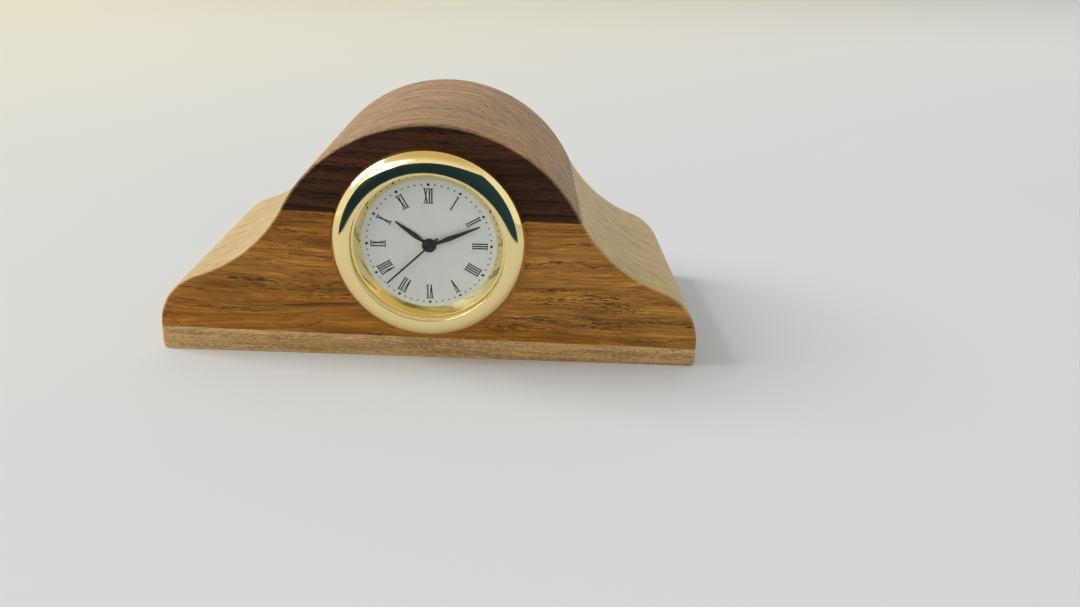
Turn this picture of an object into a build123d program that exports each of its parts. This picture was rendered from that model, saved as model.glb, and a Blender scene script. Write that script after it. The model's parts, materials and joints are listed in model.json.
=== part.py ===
# Wooden desk clock: a tambour body glued up from three woods, with a push-in quartz clock.
# Lengths are millimetres. +Z is up, the dial faces -Y, and the origin is the centre of the underside.
import os
from math import acos, atan2, cos, degrees, hypot, radians, sin

from build123d import *

os.makedirs("parts", exist_ok=True)

# Wooden body
body_width = 105.3
body_height = 46.3
body_depth = 48.5
arch_radius = 31.2
sweep_radius = 31.4
shoulder_radius = 12.3
end_height = 5.1
end_lean = 3.2
edge_round = 0.8
corner_round = 1.0
base_left = 4.9
base_right = 3.8
arch_seam_left = 29.6
arch_seam_right = 28.9

# Seat of the clock insert
dial_offset = 0.45
dial_height = 23.9
bore_depth = 10.0
overrun = 1.0
running_gap = 0.02
sliding_gap = 0.05
quarter_turn = 90

# Case of the insert, with depths measured from the front of the wood and the viewer's side negative
bezel_cover = 0.85
bezel_height = 3.5
bezel_foot = 0.25
bezel_rise = 0.4
bezel_crest_inset = 3.35
bezel_face = 4.11
lip_drop = 0.05
lip_thickness = 0.4
holder_width = 5.243
case_wall = 0.6
case_depth = 7.0
flange_width = 0.6
flange_thickness = 0.5
spigot_height = 0.4
fit_gap = 0.05
cover_thickness = 0.6
cover_rim_wall = 0.8
cover_rim_height = 1.1
cover_notch_width = 3.0
cover_notch_depth = 0.7
grip_thickness = 0.8
grip_length = 3.0
grip_start = 3.4
grip_ribs = 3

# Crystal, reflector and dial
crystal_thickness = 0.85
gasket_width = 0.5
reflector_inset = 0.5
reflector_slope = 1.13
dial_front = -0.25
dial_thickness = 0.4
dial_hole_gap = 0.2
dial_foot_radius = 0.35
dial_foot_angles = (35, 215)

# Hands, set to the time shown
hour_hand_room = 5.0
minute_hand_room = 2.3
second_hand_room = 1.6
second_tail_length = 2.3
second_hand_width = 0.3
hour_hub_radius = 1.35
minute_hub_radius = 1.15
second_hub_radius = 0.75
neck_width = 0.5
belly_width = 0.97
tip_width = 0.26
belly_share = 0.36
hand_thickness = 0.15
hand_gap = 0.25
hour_hand_time = 305.8
minute_hand_time = 66.4
second_hand_time = 225.8

# Movement: plates and layers, front to back
motion_space = 1.2
plate_thickness = 0.6
gear_thickness = 0.2
layer_gap = 0.15
bridge_thickness = 0.35
arbor_radius = 0.11
second_arbor_radius = 0.1
pipe_gap = 0.03
cannon_pipe_wall = 0.21
hour_pipe_wall = 0.23
pivot_length = 0.3
tooth_root_share = 0.29
tooth_tip_share = 0.12
addendum_share = 0.9
dedendum_share = 1.1
spoke_count = 4
rim_share = 0.16
hub_share = 0.24
spoke_share = 0.16

# Teeth and sizes of the train and of the motion work
pinion_teeth = 8
third_teeth = 60
centre_teeth = 64
second_teeth = 48
intermediate_teeth = 40
cannon_teeth = 12
minute_teeth = 36
minute_pinion_teeth = 10
hour_teeth = 40
setting_teeth = 18
clutch_teeth = 12
third_distance = 3.4
third_angle = 120
intermediate_distance = 3.5
intermediate_angle = 215
rotor_distance = 2.4
rotor_angle = 215
minute_distance = 2.6
setting_reach = 4.5

# Stepping motor, circuit and battery
magnet_radius = 0.8
magnet_thickness = 0.4
rotor_air_gap = 0.15
stator_thickness = 0.5
stator_rim = 0.95
stator_arm_width = 1.1
core_width = 1.0
core_thickness = 0.4
core_pad_radius = 0.8
coil_length = 7.2
coil_width = 1.8
coil_height = 1.4
coil_corner = 0.5
bobbin_wall = 0.1
bobbin_flange = 0.3
battery_radius = 3.4
battery_height = 2.6
battery_step = 0.35
battery_cap_radius = 2.9
battery_gap = 0.35
battery_angle = -60
plate_rim = 0.6
clip_width = 1.6
clip_thickness = 0.15
board_thickness = 0.2
board_from_angle = 14
board_to_angle = 68
chip_size = 2.2
chip_height = 0.6
resonator_radius = 0.75
resonator_length = 4.6
screw_radius = 0.25
screw_head_radius = 0.45
screw_head_height = 0.25
screw_slot_width = 0.12
pillar_radius = 0.5
bridge_margin = 0.7

# Setting work
stem_radius = 0.4
stem_square = 0.5
stem_pilot_radius = 0.2
stem_pilot_length = 1.0
stem_start = 4.3
square_length = 2.6
groove_width = 0.3
groove_depth = 0.15
groove_place = 8.75
clutch_radius = 0.75
clutch_length = 1.2
clutch_start = 5.8
clutch_groove_depth = 0.3
clutch_tooth_height = 0.25
lever_width = 0.9
lever_length = 2.4
lever_thickness = 0.2
crown_radius = 1.3
crown_length = 2.6
crown_gap = 0.4
crown_flutes = 24
flute_radius = 0.12
crown_room = 0.55

# Places that follow from the sizes
front_y = -body_depth / 2
dial_x = -dial_offset
cannon_bore_radius = second_arbor_radius + pipe_gap
cannon_pipe_radius = cannon_bore_radius + cannon_pipe_wall
hour_bore_radius = cannon_pipe_radius + pipe_gap
hour_pipe_radius = hour_bore_radius + hour_pipe_wall
dial_hole_radius = hour_pipe_radius + dial_hole_gap

# Modules from the centre distances, so every pair meshes
centre_module = 2 * third_distance / (centre_teeth + pinion_teeth)
third_module = 2 * third_distance / (third_teeth + pinion_teeth)
second_module = 2 * intermediate_distance / (second_teeth + pinion_teeth)
intermediate_module = 2 * rotor_distance / (intermediate_teeth + pinion_teeth)
cannon_module = 2 * minute_distance / (cannon_teeth + minute_teeth)
hour_module = 2 * minute_distance / (minute_pinion_teeth + hour_teeth)

# Radii of the movement
centre_tip_radius = third_distance - pinion_teeth * centre_module / 2 + addendum_share * centre_module
battery_distance = centre_tip_radius + battery_gap + battery_radius
plate_radius = battery_distance + battery_radius + plate_rim
well_radius = plate_radius + 2 * lever_thickness + crown_gap

# Case and bezel, from the movement outwards
case_inner_radius = plate_radius + holder_width
case_radius = case_inner_radius + case_wall
flange_radius = case_radius + flange_width
bore_radius = case_radius + grip_thickness
bezel_radius = bore_radius + bezel_cover
bezel_crest_radius = bezel_radius - bezel_crest_inset
aperture_radius = bezel_radius - bezel_face
lip_back = -bezel_height + lip_drop + lip_thickness
crystal_back = lip_back + crystal_thickness
crystal_radius = aperture_radius + gasket_width / 3
glass_seat_radius = crystal_radius + gasket_width
spigot_front = -flange_thickness - spigot_height
reflector_top_radius = aperture_radius - reflector_inset
dial_visible_radius = reflector_top_radius - reflector_slope
dial_radius = case_inner_radius - 2 * fit_gap

# Depths of the dial and the plate
dial_back = dial_front + dial_thickness
plate_front = dial_back + motion_space
plate_back = plate_front + plate_thickness
ring_back = case_depth - cover_rim_height
stem_depth = (plate_front + plate_back) / 2

# Train layers, each with its front depth
centre_layer = plate_back + layer_gap
third_layer = centre_layer + gear_thickness + layer_gap
second_layer = third_layer + gear_thickness + layer_gap
intermediate_layer = second_layer + gear_thickness + layer_gap
bridge_front = intermediate_layer + gear_thickness + layer_gap
bridge_back = bridge_front + bridge_thickness
hour_layer = dial_back + gear_thickness
minute_layer = plate_front - layer_gap - 2 * gear_thickness

# Hands: levels of their back faces, and lengths
hour_hand_back = dial_front - hand_gap
minute_hand_back = hour_hand_back - hand_thickness - hand_gap
second_hand_back = minute_hand_back - hand_thickness - hand_gap / 2
hour_hand_length = dial_visible_radius - hour_hand_room
minute_hand_length = dial_visible_radius - minute_hand_room
second_hand_length = dial_visible_radius - second_hand_room


def polar(radius, angle):
    return radius * cos(radians(angle)), radius * sin(radians(angle))


def shifted(place, step):
    return place[0] + step[0], place[1] + step[1]


def facing(depth, place=(0, 0)):
    # A plane parallel to the dial at a depth behind the wood's front, seen from the viewer's side.
    origin = (dial_x + place[0], front_y + depth, dial_height + place[1])
    return Plane(origin=origin, x_dir=(1, 0, 0), z_dir=(0, -1, 0))


def radial_plane():
    # Local x is the distance from the dial's axis and local y is the depth.
    return Plane(origin=(dial_x, front_y, dial_height), x_dir=(1, 0, 0), z_dir=(0, 0, 1))


def dial_axis():
    return Axis((dial_x, front_y, dial_height), (0, 1, 0))


def stem_plane(reach):
    # A plane across the stem, at a distance to the right of the dial's axis.
    origin = (dial_x + reach, front_y + stem_depth, dial_height)
    return Plane(origin=origin, x_dir=(0, 1, 0), z_dir=(1, 0, 0))


def disc(depth_from, depth_to, radius, places=((0, 0),), mode=Mode.ADD):
    with BuildSketch(facing(depth_to)) as shape:
        with Locations(*places):
            Circle(radius)
    extrude(shape.sketch, amount=depth_to - depth_from, mode=mode)


def block(depth_from, depth_to, size, place=(0, 0), turn=0, mode=Mode.ADD):
    with BuildSketch(facing(depth_to)) as shape:
        with Locations(Location((place[0], place[1], 0), (0, 0, turn))):
            Rectangle(size[0], size[1])
    extrude(shape.sketch, amount=depth_to - depth_from, mode=mode)


def turned(points, mode=Mode.ADD):
    # A ring turned about the dial's axis from corners of radius and depth.
    with BuildSketch(radial_plane()) as section:
        with BuildLine():
            Polyline(*points, close=True)
        make_face()
    revolve(section.sketch, axis=dial_axis(), mode=mode)


def rod(reach_from, reach_to, radius, mode=Mode.ADD):
    # A round bar along the stem's axis.
    with BuildSketch(stem_plane(reach_from)) as section:
        Circle(radius)
    extrude(section.sketch, amount=reach_to - reach_from, mode=mode)


def toothed(teeth, module, depth_from, depth_to, place, turn):
    # A gear whose teeth are trapezia, four corners a tooth, starting with a tooth at turn.
    pitch_radius = teeth * module / 2
    root = pitch_radius - dedendum_share * module
    tip = pitch_radius + addendum_share * module
    flanks = ((root, -tooth_root_share), (tip, -tooth_tip_share), (tip, tooth_tip_share),
              (root, tooth_root_share))
    corners = []
    for tooth in range(teeth):
        for radius, share in flanks:
            corners.append(polar(radius, turn + (tooth + share) * 360 / teeth))
    with BuildSketch(facing(depth_to, place)) as outline:
        with BuildLine():
            Polyline(*corners, close=True)
        make_face()
    extrude(outline.sketch, amount=depth_to - depth_from)


def spoked(teeth, module, depth_from, depth_to, place):
    # The windows between the spokes of a train wheel.
    root = teeth * module / 2 - dedendum_share * module
    rim = root * (1 - rim_share)
    hub = root * hub_share
    with BuildSketch(facing(depth_to, place)) as windows:
        Circle(rim)
        Circle(hub, mode=Mode.SUBTRACT)
        with PolarLocations(0, spoke_count):
            Rectangle(2 * root, root * spoke_share, mode=Mode.SUBTRACT)
    extrude(windows.sketch, amount=depth_to - depth_from, mode=Mode.SUBTRACT)


def meshed_turn(turn, teeth, direction, other_teeth):
    # Where the first tooth of a wheel stands, so that a gap meets the teeth of its neighbour.
    phase = ((direction - turn) * teeth / 360) % 1
    return direction + 180 + (phase + 0.5) * 360 / other_teeth


def finish(name, part):
    part.label = name
    export_step(part, "parts/" + name + ".step")


# The outline of the body is three arcs a side, each meeting the next without a corner
def toward(centre, point, radius):
    reach = hypot(point[0] - centre[0], point[1] - centre[1])
    return (centre[0] + (point[0] - centre[0]) * radius / reach,
            centre[1] + (point[1] - centre[1]) * radius / reach)


def bend(centre, radius, start, end):
    middle = ((start[0] + end[0]) / 2, (start[1] + end[1]) / 2)
    ThreePointArc(start, toward(centre, middle, radius), end)


def body_outline():
    lean = radians(end_lean)
    foot = (body_width / 2, 0)
    end_top = (body_width / 2 - end_height * sin(lean) / cos(lean), end_height)
    shoulder = (end_top[0] - shoulder_radius * cos(lean), end_top[1] - shoulder_radius * sin(lean))
    arch = (0, body_height - arch_radius)
    span = hypot(shoulder[0] - arch[0], shoulder[1] - arch[1])
    arch_reach = arch_radius + sweep_radius
    shoulder_reach = shoulder_radius + sweep_radius
    along = (arch_reach ** 2 - shoulder_reach ** 2 + span ** 2) / (2 * span)
    aside = (arch_reach ** 2 - along ** 2) ** 0.5
    unit = ((shoulder[0] - arch[0]) / span, (shoulder[1] - arch[1]) / span)
    sweep = (arch[0] + unit[0] * along - unit[1] * aside, arch[1] + unit[1] * along + unit[0] * aside)
    arch_end = toward(arch, sweep, arch_radius)
    shoulder_end = toward(shoulder, sweep, shoulder_radius)
    with BuildSketch(Plane.XZ.offset(front_y)) as outline:
        with BuildLine():
            Line((-foot[0], 0), foot)
            bend(arch, arch_radius, arch_end, (-arch_end[0], arch_end[1]))
            for side in (1, -1):
                Line((side * foot[0], 0), (side * end_top[0], end_top[1]))
                bend((side * shoulder[0], shoulder[1]), shoulder_radius,
                     (side * end_top[0], end_top[1]), (side * shoulder_end[0], shoulder_end[1]))
                bend((side * sweep[0], sweep[1]), sweep_radius,
                     (side * shoulder_end[0], shoulder_end[1]), (side * arch_end[0], arch_end[1]))
        make_face()
    return outline.sketch


with BuildPart() as wood_blank:
    extrude(body_outline(), amount=body_depth)
    fillet(wood_blank.edges().filter_by(Axis.Y).group_by(Axis.Z)[0], corner_round)
    end_faces = wood_blank.faces().sort_by(Axis.Y)
    fillet(end_faces[0].edges() + end_faces[-1].edges(), edge_round)

base_slope = (base_right - base_left) / body_width
seam_slope = (arch_seam_right - arch_seam_left) / body_width
base_seam = Plane(origin=(0, 0, (base_left + base_right) / 2), z_dir=(-base_slope, 0, 1))
arch_seam = Plane(origin=(0, 0, (arch_seam_left + arch_seam_right) / 2), z_dir=(-seam_slope, 0, 1))

with BuildPart() as base_board:
    add(wood_blank.part)
    split(bisect_by=base_seam, keep=Keep.BOTTOM)
    disc(-overrun, bore_depth, bore_radius, mode=Mode.SUBTRACT)
finish("base_board", base_board.part)

with BuildPart() as middle_block:
    add(wood_blank.part)
    split(bisect_by=base_seam, keep=Keep.TOP)
    split(bisect_by=arch_seam, keep=Keep.BOTTOM)
    disc(-overrun, bore_depth, bore_radius, mode=Mode.SUBTRACT)
finish("middle_block", middle_block.part)

with BuildPart() as top_arch:
    add(wood_blank.part)
    split(bisect_by=arch_seam, keep=Keep.TOP)
    disc(-overrun, bore_depth, bore_radius, mode=Mode.SUBTRACT)
finish("top_arch", top_arch.part)

# Bezel: a domed ring that clips over the flange of the case and holds the glass
with BuildPart() as bezel:
    crest = -bezel_height
    lip = crest + lip_drop
    clip_radius = flange_radius + fit_gap
    spigot_radius = case_radius + fit_gap
    with BuildSketch(radial_plane()):
        with BuildLine():
            Polyline((aperture_radius, lip), (aperture_radius, lip_back), (glass_seat_radius, lip_back),
                     (glass_seat_radius, spigot_front - fit_gap), (spigot_radius, spigot_front - fit_gap),
                     (spigot_radius, -flange_thickness - fit_gap), (clip_radius, -flange_thickness - fit_gap),
                     (clip_radius, 0), (bezel_radius - bezel_foot, 0))
            TangentArc((bezel_radius, -bezel_rise), (bezel_radius - bezel_foot, 0), tangent=(0, 1))
            EllipticalCenterArc((bezel_crest_radius, -bezel_rise), bezel_radius - bezel_crest_radius,
                                bezel_height - bezel_rise, start_angle=-quarter_turn, arc_size=quarter_turn)
            TangentArc((bezel_crest_radius, crest), (aperture_radius, lip), tangent=(-1, 0))
        make_face()
    revolve(axis=dial_axis())
finish("bezel", bezel.part)

with BuildPart() as crystal:
    disc(lip_back, crystal_back, crystal_radius)
finish("crystal", crystal.part)

with BuildPart() as crystal_gasket:
    disc(lip_back, crystal_back, glass_seat_radius)
    disc(lip_back, crystal_back, crystal_radius, mode=Mode.SUBTRACT)
finish("crystal_gasket", crystal_gasket.part)

with BuildPart() as reflector_ring:
    turned(((reflector_top_radius, crystal_back), (glass_seat_radius - fit_gap, crystal_back),
            (glass_seat_radius - fit_gap, spigot_front + fit_gap), (dial_radius, spigot_front + fit_gap),
            (dial_radius, dial_front), (dial_visible_radius, dial_front)))
finish("reflector_ring", reflector_ring.part)

dial_foot_places = [polar(plate_radius - plate_rim - dial_foot_radius, angle) for angle in dial_foot_angles]
with BuildPart() as dial:
    disc(dial_front, dial_back, dial_radius)
    disc(dial_back, plate_back, dial_foot_radius, dial_foot_places)
    disc(dial_front, dial_back, dial_hole_radius, mode=Mode.SUBTRACT)
finish("dial", dial.part)

# Case tube, with a window at three o'clock for the crown
window_half = crown_radius + crown_room
window_back = stem_depth + crown_radius + fit_gap
with BuildPart() as case_tube:
    turned(((case_inner_radius, spigot_front), (case_radius, spigot_front), (case_radius, -flange_thickness),
            (flange_radius, -flange_thickness), (flange_radius, 0), (case_radius, 0),
            (case_radius, case_depth), (case_inner_radius, case_depth)))
    block(dial_back, window_back, (case_radius, 2 * window_half), (case_radius, 0), mode=Mode.SUBTRACT)
finish("case_tube", case_tube.part)

# Rubber grip ring, with ribs that hold in the bore
with BuildPart() as grip_ring:
    rib_pitch = grip_length / grip_ribs
    rib_crest = bore_radius - sliding_gap
    rib_valley = (case_radius + rib_crest) / 2
    section = [(case_radius, grip_start)]
    for rib in range(grip_ribs):
        rib_front = grip_start + rib * rib_pitch
        section.append((rib_valley, rib_front))
        section.append((rib_crest, rib_front + rib_pitch / 3))
        section.append((rib_crest, rib_front + 2 * rib_pitch / 3))
    section.append((rib_valley, grip_start + grip_length))
    section.append((case_radius, grip_start + grip_length))
    turned(section)
finish("grip_ring", grip_ring.part)

# Holder ring between the small movement and the case
with BuildPart() as movement_ring:
    seat_radius = plate_radius - plate_rim / 2
    turned(((seat_radius, dial_back), (dial_radius, dial_back), (dial_radius, ring_back),
            (well_radius, ring_back), (well_radius, plate_back), (plate_radius + running_gap, plate_back),
            (plate_radius + running_gap, plate_front), (seat_radius, plate_front)))
    notch_start = plate_radius + crown_gap
    notch_length = case_radius - notch_start + overrun
    block(dial_back, window_back, (notch_length, 2 * window_half), (notch_start + notch_length / 2, 0),
          mode=Mode.SUBTRACT)
    rod(seat_radius - overrun, notch_start + overrun, stem_radius + running_gap, mode=Mode.SUBTRACT)
finish("movement_ring", movement_ring.part)

with BuildPart() as back_cover:
    cover_back = case_depth + cover_thickness
    disc(case_depth, cover_back, case_radius)
    disc(ring_back, case_depth, case_inner_radius - running_gap)
    disc(ring_back, case_depth, case_inner_radius - running_gap - cover_rim_wall, mode=Mode.SUBTRACT)
    fillet(back_cover.edges().sort_by(Axis.Y)[-1], cover_thickness / 2)
    block(case_depth, cover_back, (cover_notch_width, 2 * cover_notch_depth), (0, -case_radius),
          mode=Mode.SUBTRACT)
finish("back_cover", back_cover.part)

# Places of the arbors and of the fixed pieces of the movement
third_place = polar(third_distance, third_angle)
intermediate_place = polar(intermediate_distance, intermediate_angle)
rotor_place = shifted(intermediate_place, polar(rotor_distance, rotor_angle))
minute_radius = minute_teeth * cannon_module / 2
setting_radius = setting_teeth * cannon_module / 2
setting_distance = minute_radius + setting_radius
minute_cosine = (setting_reach ** 2 + minute_distance ** 2 - setting_distance ** 2)
minute_angle = -degrees(acos(minute_cosine / (2 * setting_reach * minute_distance)))
minute_place = polar(minute_distance, minute_angle)
setting_place = (setting_reach, 0)
battery_place = polar(battery_distance, battery_angle)
coil_reach = plate_radius - plate_rim - core_pad_radius
pad_height = coil_length / 2 + bobbin_flange + core_pad_radius + fit_gap
coil_x = -(coil_reach ** 2 - pad_height ** 2) ** 0.5
pad_places = ((coil_x, -pad_height), (coil_x, pad_height))
bridge_screw_shares = ((-0.40, -0.55), (-0.45, 0.52), (0.24, 0.34), (-0.07, -0.41))
bridge_screw_places = [(plate_radius * across, plate_radius * up) for across, up in bridge_screw_shares]

# Main plate, with its pillars, its studs and the slot for the stem
with BuildPart() as main_plate:
    disc(plate_front, plate_back, plate_radius)
    disc(plate_back, bridge_front, pillar_radius, bridge_screw_places)
    disc(hour_layer, plate_front, screw_radius, (minute_place,))
    disc(minute_layer, plate_front, screw_radius, (setting_place,))
    disc(plate_front, plate_back, cannon_pipe_radius + running_gap, mode=Mode.SUBTRACT)
    disc(plate_front, plate_back, dial_foot_radius + running_gap, dial_foot_places, mode=Mode.SUBTRACT)
    disc(plate_back - pivot_length, plate_back, arbor_radius + running_gap,
         (third_place, intermediate_place, rotor_place), mode=Mode.SUBTRACT)
    disc(plate_back, bridge_front, screw_radius, bridge_screw_places, mode=Mode.SUBTRACT)
    slot_start = stem_start + stem_pilot_length
    slot_length = plate_radius + overrun - slot_start
    block(plate_front, plate_back, (slot_length, 2 * (stem_radius + sliding_gap)),
          (slot_start + slot_length / 2, 0), mode=Mode.SUBTRACT)
    window_length = clutch_length + 2 * crown_gap
    block(plate_front, plate_back, (window_length, 2 * (clutch_radius + sliding_gap)),
          (slot_start + window_length / 2, 0), mode=Mode.SUBTRACT)
    rod(stem_start - running_gap, slot_start, stem_pilot_radius + running_gap, mode=Mode.SUBTRACT)
finish("main_plate", main_plate.part)

pivots = ((0, 0), third_place, intermediate_place, rotor_place)
with BuildPart() as train_bridge:
    with BuildSketch(facing(bridge_back)) as bridge_outline:
        with Locations(*bridge_screw_places):
            Circle(bridge_margin)
        make_hull()
        with Locations(*bridge_screw_places):
            Circle(screw_radius, mode=Mode.SUBTRACT)
        with Locations(*pivots):
            Circle(arbor_radius + running_gap, mode=Mode.SUBTRACT)
    extrude(amount=bridge_thickness)
finish("train_bridge", train_bridge.part)


def screws(places, head_front, shank_front):
    # Slotted screws seen from the back, driven towards the dial.
    disc(head_front, head_front + screw_head_height, screw_head_radius, places)
    disc(shank_front, head_front, screw_radius, places)
    slot_front = head_front + screw_head_height / 2
    for place in places:
        block(slot_front, head_front + screw_head_height, (2 * screw_head_radius, screw_slot_width), place,
              turn=30, mode=Mode.SUBTRACT)


with BuildPart() as bridge_screws:
    screws(bridge_screw_places, bridge_back, plate_back)
finish("bridge_screws", bridge_screws.part)

# Stepping motor: the stator is a plate with one hole for the rotor and a pad at each end of the coil
core_front = plate_back + stator_thickness
core_back = core_front + core_thickness
rotor_room = magnet_radius + rotor_air_gap
bar_x = coil_x + coil_width / 2 + stator_arm_width
arm_points = (pad_places[0], (bar_x, -pad_height), rotor_place, (bar_x, 0), (bar_x, pad_height),
              pad_places[1])
with BuildPart() as stator:
    with BuildSketch(facing(core_front)) as stator_outline:
        for start, end in zip(arm_points, arm_points[1:]):
            middle = ((start[0] + end[0]) / 2, (start[1] + end[1]) / 2, 0)
            turn = degrees(atan2(end[1] - start[1], end[0] - start[0]))
            with Locations(Location(middle, (0, 0, turn))):
                SlotCenterToCenter(hypot(end[0] - start[0], end[1] - start[1]), stator_arm_width)
        with Locations(rotor_place):
            Circle(rotor_room + stator_rim)
        with Locations(*pad_places):
            Circle(core_pad_radius)
        with Locations(rotor_place):
            Circle(rotor_room, mode=Mode.SUBTRACT)
        with Locations(*pad_places):
            Circle(screw_radius, mode=Mode.SUBTRACT)
    extrude(stator_outline.sketch, amount=stator_thickness)
finish("stator", stator.part)

with BuildPart() as coil_core:
    block(core_front, core_back, (core_width, 2 * pad_height), (coil_x, 0))
    disc(core_front, core_back, core_pad_radius, pad_places)
    disc(core_front, core_back, screw_radius, pad_places, mode=Mode.SUBTRACT)
finish("coil_core", coil_core.part)


def coil_section(inner, outer, start, length):
    # A rounded tube around the core, running along it.
    middle_depth = (core_front + core_back) / 2
    bottom = Plane(origin=(dial_x + coil_x, front_y + middle_depth, dial_height + start),
                   x_dir=(1, 0, 0), z_dir=(0, 0, 1))
    with BuildSketch(bottom) as section:
        RectangleRounded(outer[0], outer[1], coil_corner * outer[1] / coil_height)
        Rectangle(inner[0], inner[1], mode=Mode.SUBTRACT)
    extrude(section.sketch, amount=length)


tube_size = (core_width + 2 * bobbin_wall, core_thickness + 2 * bobbin_wall)
with BuildPart() as coil_bobbin:
    core_size = (core_width, core_thickness)
    coil_section(core_size, tube_size, -coil_length / 2, coil_length)
    for start in (-coil_length / 2 - bobbin_flange, coil_length / 2):
        coil_section(core_size, (coil_width, coil_height), start, bobbin_flange)
finish("coil_bobbin", coil_bobbin.part)

with BuildPart() as coil_winding:
    wound_size = (coil_width - bobbin_wall, coil_height - bobbin_wall)
    coil_section(tube_size, wound_size, -coil_length / 2, coil_length)
finish("coil_winding", coil_winding.part)

with BuildPart() as coil_screws:
    screws(pad_places, core_back, plate_back)
finish("coil_screws", coil_screws.part)

# Circuit board: a sector of a ring beside the train, with its chip and the can of its crystal
board_outer = plate_radius - plate_rim
board_inner = hypot(*bridge_screw_places[2]) + bridge_margin + layer_gap
board_back = plate_back + board_thickness
with BuildPart() as circuit_board:
    with BuildSketch(facing(board_back)) as board_outline:
        corners = [polar(board_inner, board_from_angle), polar(board_outer, board_from_angle),
                   polar(board_outer, board_to_angle), polar(board_inner, board_to_angle)]
        middle_angle = (board_from_angle + board_to_angle) / 2
        with BuildLine():
            Line(corners[0], corners[1])
            ThreePointArc(corners[1], polar(board_outer, middle_angle), corners[2])
            Line(corners[2], corners[3])
            ThreePointArc(corners[3], polar(board_inner, middle_angle), corners[0])
        make_face()
    extrude(board_outline.sketch, amount=board_thickness)
finish("circuit_board", circuit_board.part)

chip_place = polar(board_inner + chip_size, board_to_angle - (board_to_angle - board_from_angle) / 4)
with BuildPart() as clock_chip:
    block(board_back, board_back + chip_height, (chip_size, chip_size), chip_place)
    fillet(clock_chip.edges().filter_by(Axis.Y), chip_height / 4)
finish("clock_chip", clock_chip.part)

resonator_reach = board_outer * cos(radians(board_from_angle)) - 3 * resonator_radius
resonator_start = resonator_reach * sin(radians(board_from_angle)) + 2 * resonator_radius / 3
with BuildPart() as quartz_resonator:
    can_plane = Plane(origin=(dial_x + resonator_reach, front_y + board_back + resonator_radius,
                              dial_height + resonator_start), x_dir=(1, 0, 0), z_dir=(0, 0, 1))
    with BuildSketch(can_plane):
        Circle(resonator_radius)
    extrude(amount=resonator_length)
    fillet(quartz_resonator.edges().sort_by(Axis.Z)[-1], resonator_radius / 3)
finish("quartz_resonator", quartz_resonator.part)

# Button cell, its step towards the plate, and the strap that holds and connects it
battery_back = plate_back + battery_height
with BuildPart() as battery:
    disc(plate_back, plate_back + battery_step, battery_cap_radius, (battery_place,))
    disc(plate_back + battery_step, battery_back, battery_radius, (battery_place,))
    fillet(battery.edges().sort_by(Axis.Y)[-1], battery_step / 2)
finish("battery", battery.part)

clip_end = battery_place[0] + battery_radius + battery_gap + clip_thickness
with BuildPart() as battery_clip:
    strap_length = clip_end - battery_place[0] + battery_radius / 2
    block(battery_back, battery_back + clip_thickness, (strap_length, clip_width),
          (clip_end - strap_length / 2, battery_place[1]))
    block(plate_back, battery_back + clip_thickness, (clip_thickness, clip_width),
          (clip_end - clip_thickness / 2, battery_place[1]))
finish("battery_clip", battery_clip.part)

# Rotor of the stepping motor
rotor_pinion_turn = rotor_angle + 180
magnet_front = core_front - magnet_thickness - layer_gap / 3
with BuildPart() as rotor_magnet:
    disc(magnet_front, magnet_front + magnet_thickness, magnet_radius, (rotor_place,))
    disc(magnet_front, magnet_front + magnet_thickness, arbor_radius, (rotor_place,), mode=Mode.SUBTRACT)
finish("rotor_magnet", rotor_magnet.part)


def arbor(place, pinion_layer, module, turn):
    # A pivoted arbor with a pinion of eight teeth that reaches a little past its partner.
    disc(plate_back - pivot_length, bridge_back, arbor_radius, (place,))
    toothed(pinion_teeth, module, pinion_layer - layer_gap / 3, pinion_layer + gear_thickness + layer_gap / 3,
            place, turn)


with BuildPart() as rotor_pinion:
    arbor(rotor_place, intermediate_layer, intermediate_module, rotor_pinion_turn)
finish("rotor_pinion", rotor_pinion.part)

# Train wheels
with BuildPart() as intermediate_wheel:
    wheel_turn = meshed_turn(rotor_pinion_turn, pinion_teeth, rotor_angle + 180, intermediate_teeth)
    toothed(intermediate_teeth, intermediate_module, intermediate_layer,
            intermediate_layer + gear_thickness, intermediate_place, wheel_turn)
    spoked(intermediate_teeth, intermediate_module, intermediate_layer,
           intermediate_layer + gear_thickness, intermediate_place)
    arbor(intermediate_place, second_layer, second_module, intermediate_angle + 180)
finish("intermediate_wheel", intermediate_wheel.part)

with BuildPart() as second_wheel:
    wheel_turn = meshed_turn(intermediate_angle + 180, pinion_teeth, intermediate_angle + 180, second_teeth)
    toothed(second_teeth, second_module, second_layer, second_layer + gear_thickness, (0, 0), wheel_turn)
    spoked(second_teeth, second_module, second_layer, second_layer + gear_thickness, (0, 0))
    toothed(pinion_teeth, third_module, third_layer - layer_gap / 3, second_layer, (0, 0), third_angle)
    disc(second_hand_back - hand_thickness, bridge_back, second_arbor_radius)
finish("second_wheel", second_wheel.part)

with BuildPart() as third_wheel:
    wheel_turn = meshed_turn(third_angle, pinion_teeth, third_angle, third_teeth)
    toothed(third_teeth, third_module, third_layer, third_layer + gear_thickness, third_place, wheel_turn)
    spoked(third_teeth, third_module, third_layer, third_layer + gear_thickness, third_place)
    arbor(third_place, centre_layer, centre_module, third_angle + 180)
finish("third_wheel", third_wheel.part)

with BuildPart() as centre_wheel:
    wheel_turn = meshed_turn(third_angle + 180, pinion_teeth, third_angle + 180, centre_teeth)
    toothed(centre_teeth, centre_module, centre_layer, centre_layer + gear_thickness, (0, 0), wheel_turn)
    spoked(centre_teeth, centre_module, centre_layer, centre_layer + gear_thickness, (0, 0))
    disc(centre_layer, centre_layer + gear_thickness, cannon_pipe_radius + running_gap, mode=Mode.SUBTRACT)
finish("centre_wheel", centre_wheel.part)

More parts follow.
